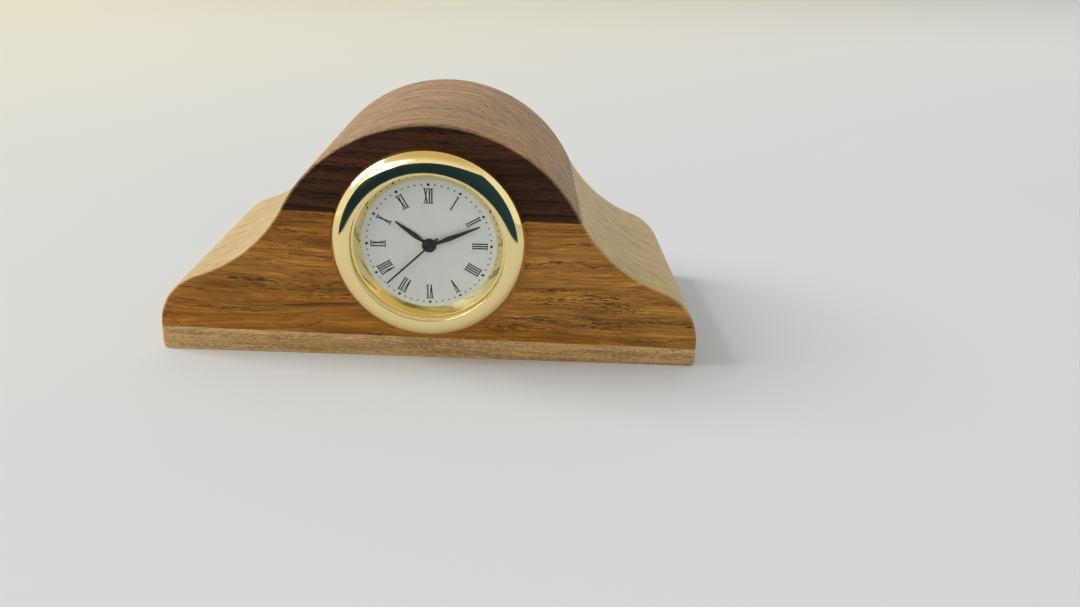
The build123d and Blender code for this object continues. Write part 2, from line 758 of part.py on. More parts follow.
# Motion work under the dial
with BuildPart() as cannon_pinion:
    toothed(cannon_teeth, cannon_module, minute_layer - layer_gap / 3, minute_layer + gear_thickness
            + layer_gap / 3, (0, 0), minute_angle)
    disc(minute_hand_back - hand_thickness, centre_layer + gear_thickness + layer_gap / 3, cannon_pipe_radius)
    disc(minute_hand_back - hand_thickness - overrun, bridge_front, cannon_bore_radius, mode=Mode.SUBTRACT)
finish("cannon_pinion", cannon_pinion.part)

minute_turn = meshed_turn(minute_angle, cannon_teeth, minute_angle, minute_teeth)
with BuildPart() as minute_wheel:
    toothed(minute_teeth, cannon_module, minute_layer, minute_layer + gear_thickness, minute_place,
            minute_turn)
    toothed(minute_pinion_teeth, hour_module, hour_layer - layer_gap / 3, minute_layer, minute_place,
            minute_angle + 180)
    disc(dial_back, plate_front, screw_radius + running_gap, (minute_place,), mode=Mode.SUBTRACT)
finish("minute_wheel", minute_wheel.part)

with BuildPart() as hour_wheel:
    wheel_turn = meshed_turn(minute_angle + 180, minute_pinion_teeth, minute_angle + 180, hour_teeth)
    toothed(hour_teeth, hour_module, hour_layer, hour_layer + gear_thickness, (0, 0), wheel_turn)
    disc(hour_hand_back - hand_thickness, hour_layer, hour_pipe_radius)
    disc(hour_hand_back - hand_thickness, hour_layer + gear_thickness, hour_bore_radius, mode=Mode.SUBTRACT)
finish("hour_wheel", hour_wheel.part)

setting_direction = degrees(atan2(setting_place[1] - minute_place[1], setting_place[0] - minute_place[0]))
with BuildPart() as setting_wheel:
    wheel_turn = meshed_turn(minute_turn, minute_teeth, setting_direction, setting_teeth)
    toothed(setting_teeth, cannon_module, minute_layer, minute_layer + gear_thickness, setting_place,
            wheel_turn)
    disc(minute_layer, plate_front, screw_radius + running_gap, (setting_place,), mode=Mode.SUBTRACT)
finish("setting_wheel", setting_wheel.part)

# Thin sprung washer between the hour wheel and the dial
with BuildPart() as dial_washer:
    disc(dial_back, hour_layer - running_gap, hour_hub_radius)
    disc(dial_back, hour_layer - running_gap, dial_hole_radius, mode=Mode.SUBTRACT)
finish("dial_washer", dial_washer.part)


def lance(length, time_angle, back, hub_radius, bore):
    # A hand that is narrow at its hub, widest a third of the way out and tapers to its tip.
    outline = ((0, neck_width), (length * belly_share, belly_width), (length, tip_width))
    side = [(reach, width / 2) for reach, width in outline]
    other = [(reach, -width / 2) for reach, width in reversed(outline)]
    with BuildSketch(facing(back)) as shape:
        with BuildSketch(Plane.XY, mode=Mode.PRIVATE) as blade:
            with BuildLine():
                Polyline(*side, *other, close=True)
            make_face()
        add(blade.sketch, rotation=quarter_turn - time_angle)
        Circle(hub_radius)
        Circle(bore, mode=Mode.SUBTRACT)
    extrude(shape.sketch, amount=hand_thickness)


with BuildPart() as hour_hand:
    lance(hour_hand_length, hour_hand_time, hour_hand_back, hour_hub_radius, hour_pipe_radius)
finish("hour_hand", hour_hand.part)

with BuildPart() as minute_hand:
    lance(minute_hand_length, minute_hand_time, minute_hand_back, minute_hub_radius, cannon_pipe_radius)
finish("minute_hand", minute_hand.part)

with BuildPart() as second_hand:
    needle_length = second_hand_length + second_tail_length
    needle_turn = quarter_turn - second_hand_time
    needle_middle = polar(second_hand_length - needle_length / 2, needle_turn)
    block(second_hand_back - hand_thickness, second_hand_back, (needle_length, second_hand_width),
          needle_middle, turn=needle_turn)
    disc(second_hand_back - hand_thickness, second_hand_back, second_hub_radius)
    disc(second_hand_back - hand_thickness, second_hand_back, second_arbor_radius, mode=Mode.SUBTRACT)
finish("second_hand", second_hand.part)

# Stem: pilot, square, round part with the groove for the setting lever
crown_start = plate_radius + 2 * crown_gap
with BuildPart() as stem:
    square_start = stem_start + stem_pilot_length
    round_start = square_start + square_length
    rod(stem_start, square_start, stem_pilot_radius)
    with BuildSketch(stem_plane(square_start)) as square:
        Rectangle(stem_square, stem_square)
    extrude(square.sketch, amount=square_length)
    rod(round_start, groove_place - groove_width / 2, stem_radius)
    rod(groove_place - groove_width / 2, groove_place + groove_width / 2, stem_radius - groove_depth)
    rod(groove_place + groove_width / 2, crown_start, stem_radius)
finish("stem", stem.part)

with BuildPart() as crown:
    rod(crown_start, crown_start + crown_length, crown_radius)
    fillet(crown.edges().sort_by(Axis.X)[-1], flute_radius)
    with BuildSketch(stem_plane(crown_start)) as flutes:
        with PolarLocations(crown_radius, crown_flutes):
            Circle(flute_radius)
    extrude(flutes.sketch, amount=crown_length, mode=Mode.SUBTRACT)
finish("crown", crown.part)

# Clutch pinion that slides on the square, with face teeth towards the setting wheel
with BuildPart() as clutch_pinion:
    clutch_end = clutch_start + clutch_length
    clutch_groove = clutch_start + clutch_length / 2
    rod(clutch_start, clutch_groove, clutch_radius)
    rod(clutch_groove, clutch_groove + groove_width, clutch_radius - clutch_groove_depth)
    rod(clutch_groove + groove_width, clutch_end, clutch_radius)
    with BuildSketch(stem_plane(clutch_start)) as gaps:
        with PolarLocations(clutch_radius, clutch_teeth):
            Rectangle(clutch_radius / 2, clutch_radius * sin(radians(180 / clutch_teeth)))
    extrude(gaps.sketch, amount=clutch_tooth_height, mode=Mode.SUBTRACT)
    with BuildSketch(stem_plane(clutch_start)) as square_hole:
        Rectangle(stem_square + 2 * running_gap, stem_square + 2 * running_gap)
    extrude(square_hole.sketch, amount=clutch_length, mode=Mode.SUBTRACT)
finish("clutch_pinion", clutch_pinion.part)


def lever(name, groove_middle, side, finger_width):
    # A flat lever on the dial side of the plate, with a finger that reaches into a groove.
    near = clutch_radius + 2 * sliding_gap
    finger_reach = stem_radius
    with BuildPart() as piece:
        block(plate_front - lever_thickness, plate_front, (lever_width, lever_length),
              (groove_middle, side * (near + lever_length / 2)))
        block(plate_front - lever_thickness, plate_front, (finger_width, near - finger_reach + overrun),
              (groove_middle, side * (finger_reach + (near - finger_reach + overrun) / 2)))
    finish(name, piece.part)


lever("setting_lever", groove_place, -1, groove_width - 2 * running_gap)
lever("yoke", clutch_groove + groove_width / 2, 1, groove_width - 2 * running_gap)
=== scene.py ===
# Wooden desk clock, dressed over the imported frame: woods, gilt bezel, dial print, hands and studio
import json
import math
import bmesh
import bpy
import numpy as np
from mathutils import Matrix, Vector

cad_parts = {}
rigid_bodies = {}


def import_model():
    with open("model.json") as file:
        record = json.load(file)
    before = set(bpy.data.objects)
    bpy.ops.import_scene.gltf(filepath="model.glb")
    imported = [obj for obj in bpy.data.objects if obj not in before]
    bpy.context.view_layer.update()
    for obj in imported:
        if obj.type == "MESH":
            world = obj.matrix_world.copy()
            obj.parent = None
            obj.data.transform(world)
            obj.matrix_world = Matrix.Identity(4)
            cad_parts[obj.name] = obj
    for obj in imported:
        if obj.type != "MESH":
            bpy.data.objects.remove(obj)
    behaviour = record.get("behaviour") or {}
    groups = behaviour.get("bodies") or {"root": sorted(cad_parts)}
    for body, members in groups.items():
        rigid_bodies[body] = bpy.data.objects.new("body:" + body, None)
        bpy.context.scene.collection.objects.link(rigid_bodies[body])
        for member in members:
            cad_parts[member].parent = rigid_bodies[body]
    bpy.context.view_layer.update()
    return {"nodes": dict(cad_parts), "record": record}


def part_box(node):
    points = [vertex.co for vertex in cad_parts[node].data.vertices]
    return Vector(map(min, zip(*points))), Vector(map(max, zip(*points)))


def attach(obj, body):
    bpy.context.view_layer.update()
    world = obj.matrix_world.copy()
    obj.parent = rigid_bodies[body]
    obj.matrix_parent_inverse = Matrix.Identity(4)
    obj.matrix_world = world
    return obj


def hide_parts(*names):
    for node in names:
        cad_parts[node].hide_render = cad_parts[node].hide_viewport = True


# Blender's starting objects go, so that only the frame and the new pieces are there
for leftover in list(bpy.data.objects):
    bpy.data.objects.remove(leftover)
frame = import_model()
mm = 0.001  # pieces are worked out in millimetres, the studio in metres
print("frame loaded:", len(frame["nodes"]), "nodes")


# A look is a material whose nodes are added one by one; plain values go straight onto sockets
class Look:
    def __init__(self, name, **surface):
        self.material = bpy.data.materials.new(name)
        self.material.use_nodes = True
        self.tree = self.material.node_tree
        self.shader = self.tree.nodes["Principled BSDF"]
        self.fill(self.shader, surface)

    def fill(self, node, values):
        # Keys are names of inputs with _ for a space, or i and the input's number
        for key, value in values.items():
            numbered = key[1:].isdigit()
            socket = node.inputs[int(key[1:]) if numbered else key.replace("_", " ")]
            if isinstance(value, bpy.types.NodeSocket):
                self.tree.links.new(value, socket)
            else:
                socket.default_value = value

    def node(self, kind, settings=None, **values):
        # Settings are the node's own properties, values go to its inputs
        made = self.tree.nodes.new("ShaderNode" + kind)
        for key, value in (settings or {}).items():
            setattr(made, key, value)
        self.fill(made, values)
        return made

    def math(self, operation, first, second=0.0, third=0.0):
        return self.node("Math", {"operation": operation}, i0=first, i1=second, i2=third).outputs[0]

    def vector(self, operation, *inputs):
        values = {f"i{number}": value for number, value in enumerate(inputs)}
        return self.node("VectorMath", {"operation": operation}, **values)

    def place(self, scale=(1, 1, 1), shift=(0, 0, 0)):
        # Object coordinates in millimetres, shifted and then stretched
        coords = self.node("TexCoord").outputs["Object"]
        centred = self.vector("MULTIPLY_ADD", coords, (1 / mm,) * 3, [-value for value in shift])
        return self.vector("MULTIPLY", centred.outputs[0], scale).outputs[0]

    def noise(self, vector, detail=2.0, roughness=0.5):
        return self.node("TexNoise", Vector=vector, Scale=1.0, Detail=detail, Roughness=roughness)

    def grey(self, value, low, high, dark=0.0, light=1.0):
        # A straight map of low..high onto dark..light, clamped
        made = self.node("MapRange", Value=value, From_Min=low, From_Max=high, To_Min=dark, To_Max=light)
        return made.outputs["Result"]

    def mix(self, share, first, second):
        # Two colours, each a socket or three numbers, blended by a share; they are inputs 6 and 7
        colours = [value if isinstance(value, bpy.types.NodeSocket) else (*value, 1)
                   for value in (first, second)]
        made = self.node("Mix", {"data_type": "RGBA"}, i0=share, i6=colours[0], i7=colours[1])
        return made.outputs[2]

    def bump(self, height, strength, depth):
        # The depth is in millimetres
        made = self.node("Bump", Strength=strength, Distance=depth * mm, Height=height)
        return made.outputs["Normal"]

    def finish(self, **surface):
        self.fill(self.shader, surface)
        return self.material


# The three woods share one recipe: growth rings round a pith along X, fibre streaks and open pores;
# pith and ringWidth are in millimetres; the top's colour, pore colour and share, topRings, topPores and calm
# paint light onto the pale top
woods = {
    "dark_wood": {
        "pith": (0, 34, -46), "ringWidth": 2.3, "warp": 4.5, "warpScale": (0.014, 0.06, 0.06),
        "lateShape": 1.6, "early": (0.079, 0.0262, 0.0098), "late": (0.011, 0.0039, 0.0018),
        "tint": (0.040, 0.0134, 0.0058), "bands": 0.72, "streak": 1.4,
        "paintedTopLight": (0.46, 0.27, 0.120), "paintedTopLightPore": (0.10, 0.048, 0.026), "paintedTopLightMost": 0.86, "topRings": 0.18,
        "pore": (0.008, 0.003, 0.002), "poreScale": (0.42, 4.6, 4.6), "poreSize": 0.24,
        "poreShare": 0.8, "topPores": 0.7, "crowd": (0.34, 0.60), "sparse": 0.35,
        "calm": 0.52, "coat": 0.07, "roughness": 0.55,
    },
    "honey_wood": {
        "pith": (14, 60, -64), "ringWidth": 4.3, "warp": 7.5, "warpScale": (0.017, 0.05, 0.05),
        "lateShape": 6.0, "early": (0.350, 0.130, 0.0095), "late": (0.07, 0.019, 0.002),
        "tint": (0.505, 0.243, 0.050), "bands": 0.60, "streak": 0.82,
        "paintedTopLight": (0.64, 0.46, 0.195), "paintedTopLightPore": (0.26, 0.14, 0.05), "paintedTopLightMost": 0.85, "topRings": 0.34,
        "pore": (0.030, 0.009, 0.002), "poreScale": (0.46, 7.0, 7.0), "poreSize": 0.29,
        "poreShare": 0.9, "topPores": 0.3, "crowd": (0.47, 0.64), "sparse": 0.15,
        "calm": 0.78, "coat": 0.18, "roughness": 0.50,
    },
    "pale_wood": {
        "pith": (0, -70, 60), "ringWidth": 5.0, "warp": 3.0, "warpScale": (0.02, 0.06, 0.06),
        "lateShape": 2.0, "early": (0.66, 0.405, 0.160), "late": (0.47, 0.268, 0.100),
        "tint": (0.74, 0.485, 0.222), "bands": 0.25, "streak": 0.45,
        "paintedTopLight": (0.70, 0.52, 0.30), "paintedTopLightPore": (0.35, 0.20, 0.10), "paintedTopLightMost": 0.5, "topRings": 0.2,
        "pore": (0.24, 0.115, 0.045), "poreScale": (0.95, 4.2, 4.2), "poreSize": 0.33,
        "poreShare": 0.55, "topPores": 0.5, "crowd": (0.34, 0.62), "sparse": 0.55,
        "calm": 0.5, "coat": 0.16, "roughness": 0.50,
    },
}
# Patterns along the grain: the stretch a millimetre along X, Y and Z, then detail and roughness
patterns = {
    "bands": ((0.022, 0.42, 0.42), 3.0, 0.6),
    "fibre": ((0.048, 2.3, 2.3), 6.0, 0.72),
    "hair": ((0.16, 6.5, 6.5), 2.0, 0.6),
    "ragged": ((1.1, 4.5, 4.5), 1.0, 0.5),
    "crowd": ((0.05, 0.75, 0.75), 2.0, 0.5),
}
# What else the woods share; four numbers are the low and high end of a map and what they turn into
grain = {
    "slowDetail": 3.0, "late": (0.10, 0.95), "ringToneWidth": 5.3, "ringToneDetail": 3.0,
    "ringTone": (0.38, 0.64, 0.2, 1.0), "raggedReach": 0.5, "crowdTop": 1.2, "porePhase": (0.1, 0.8),
    "poreGrowth": (0.75, 1.25), "poreEdge": 1.5, "patchScale": (0.018, 0.09, 0.09),
    "patchShift": (7, 3, 5), "patchTint": (0.42, 0.68, 0.0, 0.55), "fibreTint": (0.46, 0.72, 0.0, 0.6),
    "mostTint": 0.9, "lookingUp": (0.05, 0.60), "fibreEnds": (0.28, 0.72), "bandEnds": (0.34, 0.66),
    "hairShade": (0.3, 0.7, 0.80, 1.18), "hairHeight": 0.25, "bump": 0.35, "bumpDepth": 0.05,
    "poreRoughness": 0.25, "specular": 0.12, "coatRoughness": 0.25, "coatIndex": 1.45,
}


def woodLook(slot):
    wood = woods[slot]
    look = Look(slot)
    # Everything follows the grain, bent by a slow noise that is stretched along X
    slow = look.noise(look.place(wood["warpScale"]), grain["slowDetail"]).outputs["Color"]
    bent = look.vector("MULTIPLY_ADD", slow, (wood["warp"],) * 3, look.place(shift=wood["pith"])).outputs[0]

    def along(scale):
        return look.vector("MULTIPLY", bent, scale).outputs[0]

    def pattern(name, output=0):
        scale, detail, roughness = patterns[name]
        return look.noise(along(scale), detail, roughness).outputs[output]

    def swing(value, ends, share):
        # A grey round 1 that goes down and up by half a share
        return look.grey(value, *ends, 1.0 - share * 0.5, 1.0 + share * 0.5)

    # Rings: distance from the pith axis, each ring stronger or weaker than the next
    radius = look.vector("LENGTH", along((0, 1, 1))).outputs["Value"]
    phase = look.math("FRACT", look.math("DIVIDE", radius, wood["ringWidth"]))
    ringTone = look.node("TexNoise", {"noise_dimensions": "1D"}, Scale=1.0, Detail=grain["ringToneDetail"],
                         W=look.math("DIVIDE", radius, grain["ringToneWidth"])).outputs[0]
    lateness = look.math("MULTIPLY", look.grey(look.math("POWER", phase, wood["lateShape"]), *grain["late"]),
                         look.grey(ringTone, *grain["ringTone"]))
    # Pores: short dashes with ragged ends, crowded on some lines and thickest in the late wood
    cellPlace = look.vector("MULTIPLY_ADD", pattern("ragged", "Color"), (grain["raggedReach"],) * 3,
                            along(wood["poreScale"])).outputs[0]
    cells = look.node("TexVoronoi", {"feature": "F1"}, Vector=cellPlace, Scale=1.0).outputs["Distance"]
    poreSizes = [wood["poreSize"] * growth for growth in grain["poreGrowth"]]
    reach = look.math("MULTIPLY",
                      look.grey(pattern("crowd"), *wood["crowd"], wood["sparse"], grain["crowdTop"]),
                      look.grey(phase, *grain["porePhase"], *poreSizes))
    pore = look.node("MapRange", {"interpolation_type": "SMOOTHSTEP"}, Value=cells, From_Min=reach,
                     From_Max=look.math("MULTIPLY", reach, grain["poreEdge"]),
                     To_Min=1.0, To_Max=0.0).outputs["Result"]
    # Colour: early wood to late wood, tinted in patches and in the lighter fibres
    fibre, hair = pattern("fibre"), pattern("hair")
    patches = look.noise(look.place(grain["patchScale"], grain["patchShift"])).outputs[0]
    tinted = look.math("ADD", look.grey(patches, *grain["patchTint"]), look.grey(fibre, *grain["fibreTint"]))
    colour = look.mix(look.math("MINIMUM", tinted, grain["mostTint"]),
                      look.mix(lateness, wood["early"], wood["late"]), wood["tint"])
    # Painted light: where the surface looks up, colour and pores are painted paler, standing in for the
    # sheen and stronger light that the top catches
    upward = look.node("SeparateXYZ", Vector=look.node("TexCoord").outputs["Normal"]).outputs["Z"]
    paintedTopLight = look.grey(upward, *grain["lookingUp"], 0.0, wood["paintedTopLightMost"])
    topTone = look.mix(look.math("MULTIPLY", lateness, wood["topRings"]), wood["paintedTopLight"], wood["paintedTopLightPore"])
    colour = look.mix(paintedTopLight, colour, topTone)
    poreColour = look.mix(paintedTopLight, wood["pore"], wood["paintedTopLightPore"])
    # Grain shade: streaks, broad bands and hairs, calmer on the top where light is painted
    shade = look.math("MULTIPLY", swing(fibre, grain["fibreEnds"], wood["streak"]),
                      swing(pattern("bands"), grain["bandEnds"], wood["bands"]))
    shade = look.math("MULTIPLY", shade, look.grey(hair, *grain["hairShade"]))
    calm = look.math("MULTIPLY", paintedTopLight, wood["calm"])
    shade = look.math("MULTIPLY_ADD", calm, look.math("SUBTRACT", 1.0, shade), shade)
    shaded = look.node("VectorMath", {"operation": "SCALE"}, i0=colour, Scale=shade).outputs[0]
    inkShare = look.math("MULTIPLY", pore, look.grey(paintedTopLight, 0.0, 1.0, wood["poreShare"], wood["topPores"]))
    height = look.math("SUBTRACT", look.math("MULTIPLY", hair, grain["hairHeight"]), pore)
    return look.finish(
        Base_Color=look.mix(inkShare, shaded, poreColour),
        Normal=look.bump(height, grain["bump"], grain["bumpDepth"]),
        Roughness=look.math("MULTIPLY_ADD", pore, grain["poreRoughness"], wood["roughness"]),
        Specular_IOR_Level=grain["specular"], Coat_Weight=wood["coat"],
        Coat_Roughness=grain["coatRoughness"], Coat_IOR=grain["coatIndex"])


# Metals share a recipe too: faint wear in the roughness and a fine lapping bump
metals = {
    "gold_plate": {"colour": (0.95, 0.765, 0.365), "roughness": 0.07, "wear": 0.05, "bump": 0.02},
    "case_metal": {"colour": (0.66, 0.65, 0.62), "roughness": 0.28, "wear": 0.12, "bump": 0.10},
    "cover_metal": {"colour": (0.62, 0.62, 0.62), "roughness": 0.24, "wear": 0.12, "bump": 0.08},
    "movement_brass": {"colour": (0.75, 0.63, 0.36), "roughness": 0.32, "wear": 0.10, "bump": 0.10},
    "screw_steel": {"colour": (0.62, 0.62, 0.64), "roughness": 0.18, "wear": 0.10, "bump": 0.05},
    "soft_iron": {"colour": (0.48, 0.48, 0.50), "roughness": 0.42, "wear": 0.12, "bump": 0.10},
    "can_metal": {"colour": (0.74, 0.74, 0.73), "roughness": 0.20, "wear": 0.10, "bump": 0.05},
    "magnet": {"colour": (0.25, 0.25, 0.27), "roughness": 0.45, "wear": 0.12, "bump": 0.15},
    "gear_brass": {"colour": (0.80, 0.66, 0.32), "roughness": 0.22, "wear": 0.10, "bump": 0.06},
    "crown_metal": {"colour": (0.70, 0.70, 0.70), "roughness": 0.16, "wear": 0.08, "bump": 0.04},
    "copper_wire": {"colour": (0.66, 0.28, 0.14), "roughness": 0.30, "wear": 0.10, "bump": 0.10},
}
lapping = {"smudgeScale": 0.18, "smudgeDetail": 3.0, "smudgeEnds": (0.4, 0.75), "scale": 3.0, "depth": 0.01}


def metalLook(slot):
    metal = metals[slot]
    look = Look(slot, Base_Color=(*metal["colour"], 1), Metallic=1.0)
    smudge = look.noise(look.place((lapping["smudgeScale"],) * 3), lapping["smudgeDetail"]).outputs[0]
    lapped = look.noise(look.place((lapping["scale"],) * 3)).outputs[0]
    rough = look.math("MULTIPLY_ADD", look.grey(smudge, *lapping["smudgeEnds"]), metal["wear"],
                      metal["roughness"])
    return look.finish(Roughness=rough, Normal=look.bump(lapped, metal["bump"], lapping["depth"]))


# Paints, plastics and rubber: a mottled colour, a grain in the bump and an even gloss
coatings = {
    # dial_paint is painted shade: a white dial given a light grey for the shade it sits in under the bezel
    "dial_paint": {"colour": (0.65, 0.66, 0.625), "shade": (0.62, 0.633, 0.595), "grain": 2.5,
                   "roughness": 0.42, "bump": 0.06, "gloss": 0.5},
    "hand_paint": {"colour": (0.005, 0.008, 0.008), "shade": (0.010, 0.014, 0.014), "grain": 4.0,
                   "roughness": 0.36, "bump": 0.05, "gloss": 0.25},
    "nylon": {"colour": (0.80, 0.77, 0.68), "shade": (0.74, 0.71, 0.62), "grain": 1.2,
              "roughness": 0.45, "bump": 0.10, "gloss": 0.5},
    "holder_plastic": {"colour": (0.80, 0.80, 0.77), "shade": (0.74, 0.74, 0.71), "grain": 0.8,
                       "roughness": 0.40, "bump": 0.12, "gloss": 0.5},
    "grip_rubber": {"colour": (0.030, 0.030, 0.030), "shade": (0.050, 0.049, 0.047), "grain": 1.5,
                    "roughness": 0.72, "bump": 0.35, "gloss": 0.5},
    "board_laminate": {"colour": (0.06, 0.20, 0.08), "shade": (0.04, 0.15, 0.06), "grain": 2.0,
                       "roughness": 0.35, "bump": 0.10, "gloss": 0.5},
    "chip_resin": {"colour": (0.022, 0.022, 0.022), "shade": (0.034, 0.034, 0.034), "grain": 5.0,
                   "roughness": 0.5, "bump": 0.20, "gloss": 0.5},
}
mottle = {"cloudScale": 0.25, "detail": 3.0, "cloudEnds": (0.35, 0.7), "grainEnds": (0.3, 0.7),
          "grainRoughness": 0.08, "depth": 0.02}


def coatingLook(slot):
    paint = coatings[slot]
    look = Look(slot)
    cloud = look.noise(look.place((mottle["cloudScale"],) * 3), mottle["detail"]).outputs[0]
    speck = look.noise(look.place((paint["grain"],) * 3), mottle["detail"]).outputs[0]
    colour = look.mix(look.grey(cloud, *mottle["cloudEnds"]), paint["colour"], paint["shade"])
    rough = look.math("MULTIPLY_ADD", look.grey(speck, *mottle["grainEnds"]), mottle["grainRoughness"],
                      paint["roughness"])
    return look.finish(Base_Color=colour, Roughness=rough, Specular_IOR_Level=paint["gloss"],
                       Normal=look.bump(speck, paint["bump"], mottle["depth"]))


# Glass: the lamps shine straight through it, and a low index keeps its mirror image faint
glass = {"colour": (0.97, 0.985, 0.98), "through": (0.96, 0.975, 0.97), "index": 1.2,
         "smearScale": 0.3, "smearDetail": 3.0, "smear": (0.5, 0.8, 0.0, 0.03)}


def glassLook(slot):
    look = Look(slot, Base_Color=(*glass["colour"], 1), Transmission_Weight=1.0, IOR=glass["index"])
    smear = look.noise(look.place((glass["smearScale"],) * 3), glass["smearDetail"]).outputs[0]
    clear = look.node("BsdfTransparent", Color=(*glass["through"], 1))
    blend = look.node("MixShader", i0=look.node("LightPath").outputs["Is Shadow Ray"],
                      i1=look.shader.outputs[0], i2=clear.outputs[0])
    look.fill(look.tree.nodes["Material Output"], {"Surface": blend.outputs[0]})
    return look.finish(Roughness=look.grey(smear, *glass["smear"]))


looks = {slot: woodLook(slot) for slot in woods}
looks.update({slot: metalLook(slot) for slot in metals})
looks.update({slot: coatingLook(slot) for slot in coatings})
looks["clear_glass"] = glassLook("clear_glass")

slotOf = {part["node"]: part["material_slot"] for part in frame["record"]["subparts"]}
for nodeName, node in frame["nodes"].items():
    node.data.materials.clear()
    node.data.materials.append(looks[slotOf[nodeName]])
print("looks made:", len(looks))


# Mesh helpers: how near points are merged, in metres, and the angle below which edges are smooth
sewing = {"doubles": 2e-7, "slivers": 1e-8, "smoothBelow": 35}


def linked(name, data):
    # A new object that holds a mesh, lamp or lens, linked to the scene
    made = bpy.data.objects.new(name, data)
    bpy.context.scene.collection.objects.link(made)
    return made


def gridFaces(rows, columns, wrapColumns=False, start=0):
    # Quads between neighbouring rows and columns of a grid whose points run row by row
    row, column = np.meshgrid(np.arange(rows - 1), np.arange(columns if wrapColumns else columns - 1),
                              indexing="ij")
    after = (column + 1) % columns
    corners = (row * columns + column, row * columns + after, (row + 1) * columns + after,
               (row + 1) * columns + column)
    return start + np.stack(corners, -1).reshape(-1, 4)


def sew(mesh):
    # Doubled points are merged and every face is turned outwards
    cloth = bmesh.new()
    cloth.from_mesh(mesh)
    bmesh.ops.remove_doubles(cloth, verts=cloth.verts, dist=sewing["doubles"])
    bmesh.ops.dissolve_degenerate(cloth, edges=cloth.edges, dist=sewing["slivers"])
    bmesh.ops.recalc_face_normals(cloth, faces=cloth.faces)
    cloth.to_mesh(mesh)
    cloth.free()


def addPiece(name, points, faces, body, slot, stands=(), angle=sewing["smoothBelow"]):
    # A closed piece from points in millimetres, which rides on a body and may stand for nodes of the frame
    mesh = bpy.data.meshes.new(name)
    mesh.from_pydata((points * mm).tolist(), [], faces)
    work = linked(name, mesh)
    sew(mesh)
    mesh.shade_smooth()
    mesh.set_sharp_from_angle(angle=math.radians(angle))
    mesh.materials.append(looks[slot])
    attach(work, body)
    if stands:
        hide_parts(*stands)


# Wooden body: the outline is a bottom, a small corner, a leaning end and three arcs a side
bodyShape = {
    "width": 105.3, "height": 46.3, "archRadius": 31.2, "sweepRadius": 31.4, "shoulderRadius": 12.3,
    "endHeight": 5.1, "endLean": 3.2, "cornerRound": 1.0, "edgeRound": 0.55, "footRound": 0.25,
    "flatStrip": 0.35, "baseLeft": 4.9, "baseRight": 3.8, "archLeft": 29.6, "archRight": 28.9,
    "boreRadius": 17.5, "boreDepth": 10.0, "samplesPerArc": 400, "samplesPerLine": 60,
    "shortestStep": 1e-9, "columns": 150, "edgeSteps": 7, "acrossSteps": 6, "boreSteps": 120,
}
# Where a glue line is looked for, as shares of the way round the outline, and in how many steps
seamSearch = {"right": (0.02, 0.498), "left": (0.502, 0.98), "steps": 60000}
# The dial's centre, then the wood's front and back and the bore's floor along Y
dialX, dialZ = -0.45, 23.9
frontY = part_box("middle_block")[0].y / mm
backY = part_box("middle_block")[1].y / mm
boreBack = frontY + bodyShape["boreDepth"]


def arcPoints(centre, radius, fromAngle, toAngle, outward):
    # Points and outward normals of an arc; outward is -1 where the body lies outside the circle
    angle = np.linspace(fromAngle, toAngle, bodyShape["samplesPerArc"])
    ray = np.stack([np.cos(angle), np.sin(angle)], -1)
    return np.array(centre) + radius * ray, outward * ray


def linePoints(start, end, normal):
    # Points from start to end, with the one normal repeated
    share = np.linspace(0, 1, bodyShape["samplesPerLine"])[:, None]
    return np.array(start) * (1 - share) + np.array(end) * share, np.repeat([normal], len(share), 0)


def bodyOutline():
    # The right half from the middle of the bottom to the top, then the same mirrored down the left;
    # the sweep's centre is as far from those of arch and shoulder as their radii together
    shape = bodyShape
    lean = math.radians(shape["endLean"])
    half, low = shape["width"] / 2, shape["cornerRound"]
    corner = (half - low * (1 + math.sin(lean)) / math.cos(lean), low)
    endNormal = np.array([math.cos(lean), math.sin(lean)])
    endTop = np.array([half - shape["endHeight"] * math.tan(lean), shape["endHeight"]])
    shoulder = endTop - shape["shoulderRadius"] * endNormal
    arch = np.array([0, shape["height"] - shape["archRadius"]])
    span = np.linalg.norm(shoulder - arch)
    archReach = shape["archRadius"] + shape["sweepRadius"]
    shoulderReach = shape["shoulderRadius"] + shape["sweepRadius"]
    along = (archReach ** 2 - shoulderReach ** 2 + span ** 2) / (2 * span)
    unit = (shoulder - arch) / span
    sweep = arch + unit * along + np.array([-unit[1], unit[0]]) * math.sqrt(archReach ** 2 - along ** 2)
    fromShoulder = math.atan2(*(sweep - shoulder)[::-1])
    fromArch = math.atan2(*(sweep - arch)[::-1])
    pieces = [
        linePoints((0, 0), (corner[0], 0), (0, -1)),
        arcPoints(corner, low, -math.pi / 2, lean, 1),
        linePoints(corner + low * endNormal, endTop, endNormal),
        arcPoints(shoulder, shape["shoulderRadius"], lean, fromShoulder, 1),
        arcPoints(sweep, shape["sweepRadius"], fromShoulder - math.pi, fromArch - math.pi, -1),
        arcPoints(arch, shape["archRadius"], fromArch, math.pi / 2, 1),
    ]
    points = np.concatenate([piece[0] for piece in pieces])
    normals = np.concatenate([piece[1] for piece in pieces])
    flip = np.array([-1, 1])
    points = np.concatenate([points, points[::-1] * flip])
    normals = np.concatenate([normals, normals[::-1] * flip])
    steps = np.linalg.norm(np.diff(points, axis=0), axis=1)
    travel = np.concatenate([[0], np.cumsum(steps)])
    keep = np.concatenate([[True], steps > shape["shortestStep"]])
    return points[keep], normals[keep], travel[keep]


outlinePoints, outlineNormals, outlineTravel = bodyOutline()
outlineLength = outlineTravel[-1]


def readOutline(travel, values):
    # The outline's points or normals at a distance round it, read between its samples
    wrapped = np.mod(travel, outlineLength)
    return [np.interp(wrapped, outlineTravel, values[:, axis]) for axis in (0, 1)]


